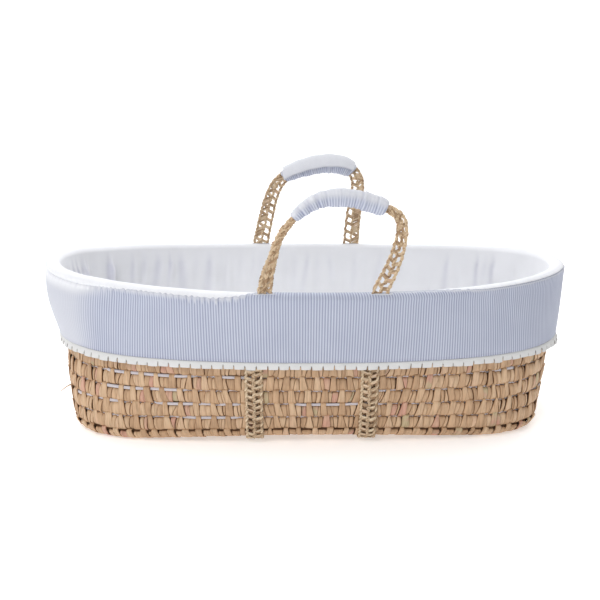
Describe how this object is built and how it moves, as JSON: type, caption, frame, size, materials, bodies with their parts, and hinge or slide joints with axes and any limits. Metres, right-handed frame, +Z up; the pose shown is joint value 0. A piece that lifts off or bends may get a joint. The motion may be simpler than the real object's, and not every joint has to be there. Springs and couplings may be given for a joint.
{
  "type": "moses basket",
  "caption": "Woven palm baby basket with sewn braid walls, a padded striped liner folded over the rim, carrying handles with padded grips and a mattress.",
  "frame": {"origin": "on the floor below the middle of the basket's overall box", "axes": "+X along the basket towards the wider head end, +Y across the basket away from the near side, +Z up"},
  "size_m": [0.8207, 0.4452, 0.4025],
  "materials": {
    "palm_braid": "dry matte palm leaf",
    "plait": "twisted palm plait",
    "white_lining": "soft matte cotton over wadding",
    "striped_cotton": "matte cotton with fine pale stripes",
    "trim": "pleated white cotton",
    "wadding": "soft polyester wadding",
    "mattress_foam": "open-cell foam",
    "mattress_cover": "quilted white cotton",
    "zip": "woven tape"
  },
  "bodies": {
    "basket": {"base_mat": "palm_braid", "wall_turn_01": "palm_braid", "wall_turn_02": "palm_braid", "wall_turn_03": "palm_braid", "wall_turn_04": "palm_braid", "wall_turn_05": "palm_braid", "wall_turn_06": "palm_braid", "wall_turn_07": "palm_braid", "wall_turn_08": "palm_braid", "wall_turn_09": "palm_braid", "wall_turn_10": "palm_braid", "left_carrying_band": "plait", "right_carrying_band": "plait", "liner_floor": "white_lining", "liner_wall_pad": "white_lining", "rim_roll": "white_lining", "outer_skirt": "striped_cotton", "hem_frill": "trim", "slit_binding_near_left": "trim", "slit_binding_near_right": "trim", "slit_binding_far_left": "trim", "slit_binding_far_right": "trim"},
    "near_handle": {"near_handle_plait": "plait", "near_grip_padding": "wadding", "near_grip_cover": "striped_cotton"},
    "far_handle": {"far_handle_plait": "plait", "far_grip_padding": "wadding", "far_grip_cover": "striped_cotton"},
    "mattress": {"mattress_core": "mattress_foam", "mattress_cover_base": "mattress_cover", "mattress_cover_top": "mattress_cover", "mattress_zip": "zip"}
  },
  "joints": [
    {"name": "near_handle_fold", "type": "hinge", "parent": "basket", "child": "near_handle", "pos_m": [0.016, -0.2117, 0.2457], "axis": [1, 0, 0], "range_deg": [-105, 105]},
    {"name": "far_handle_fold", "type": "hinge", "parent": "basket", "child": "far_handle", "pos_m": [0.008, 0.2117, 0.2457], "axis": [-1, 0, 0], "range_deg": [-105, 105]},
    {"name": "mattress_lift", "type": "slide", "parent": "basket", "child": "mattress", "axis": [0, 0, 1], "range_m": [0, 0.43]}
  ]
}
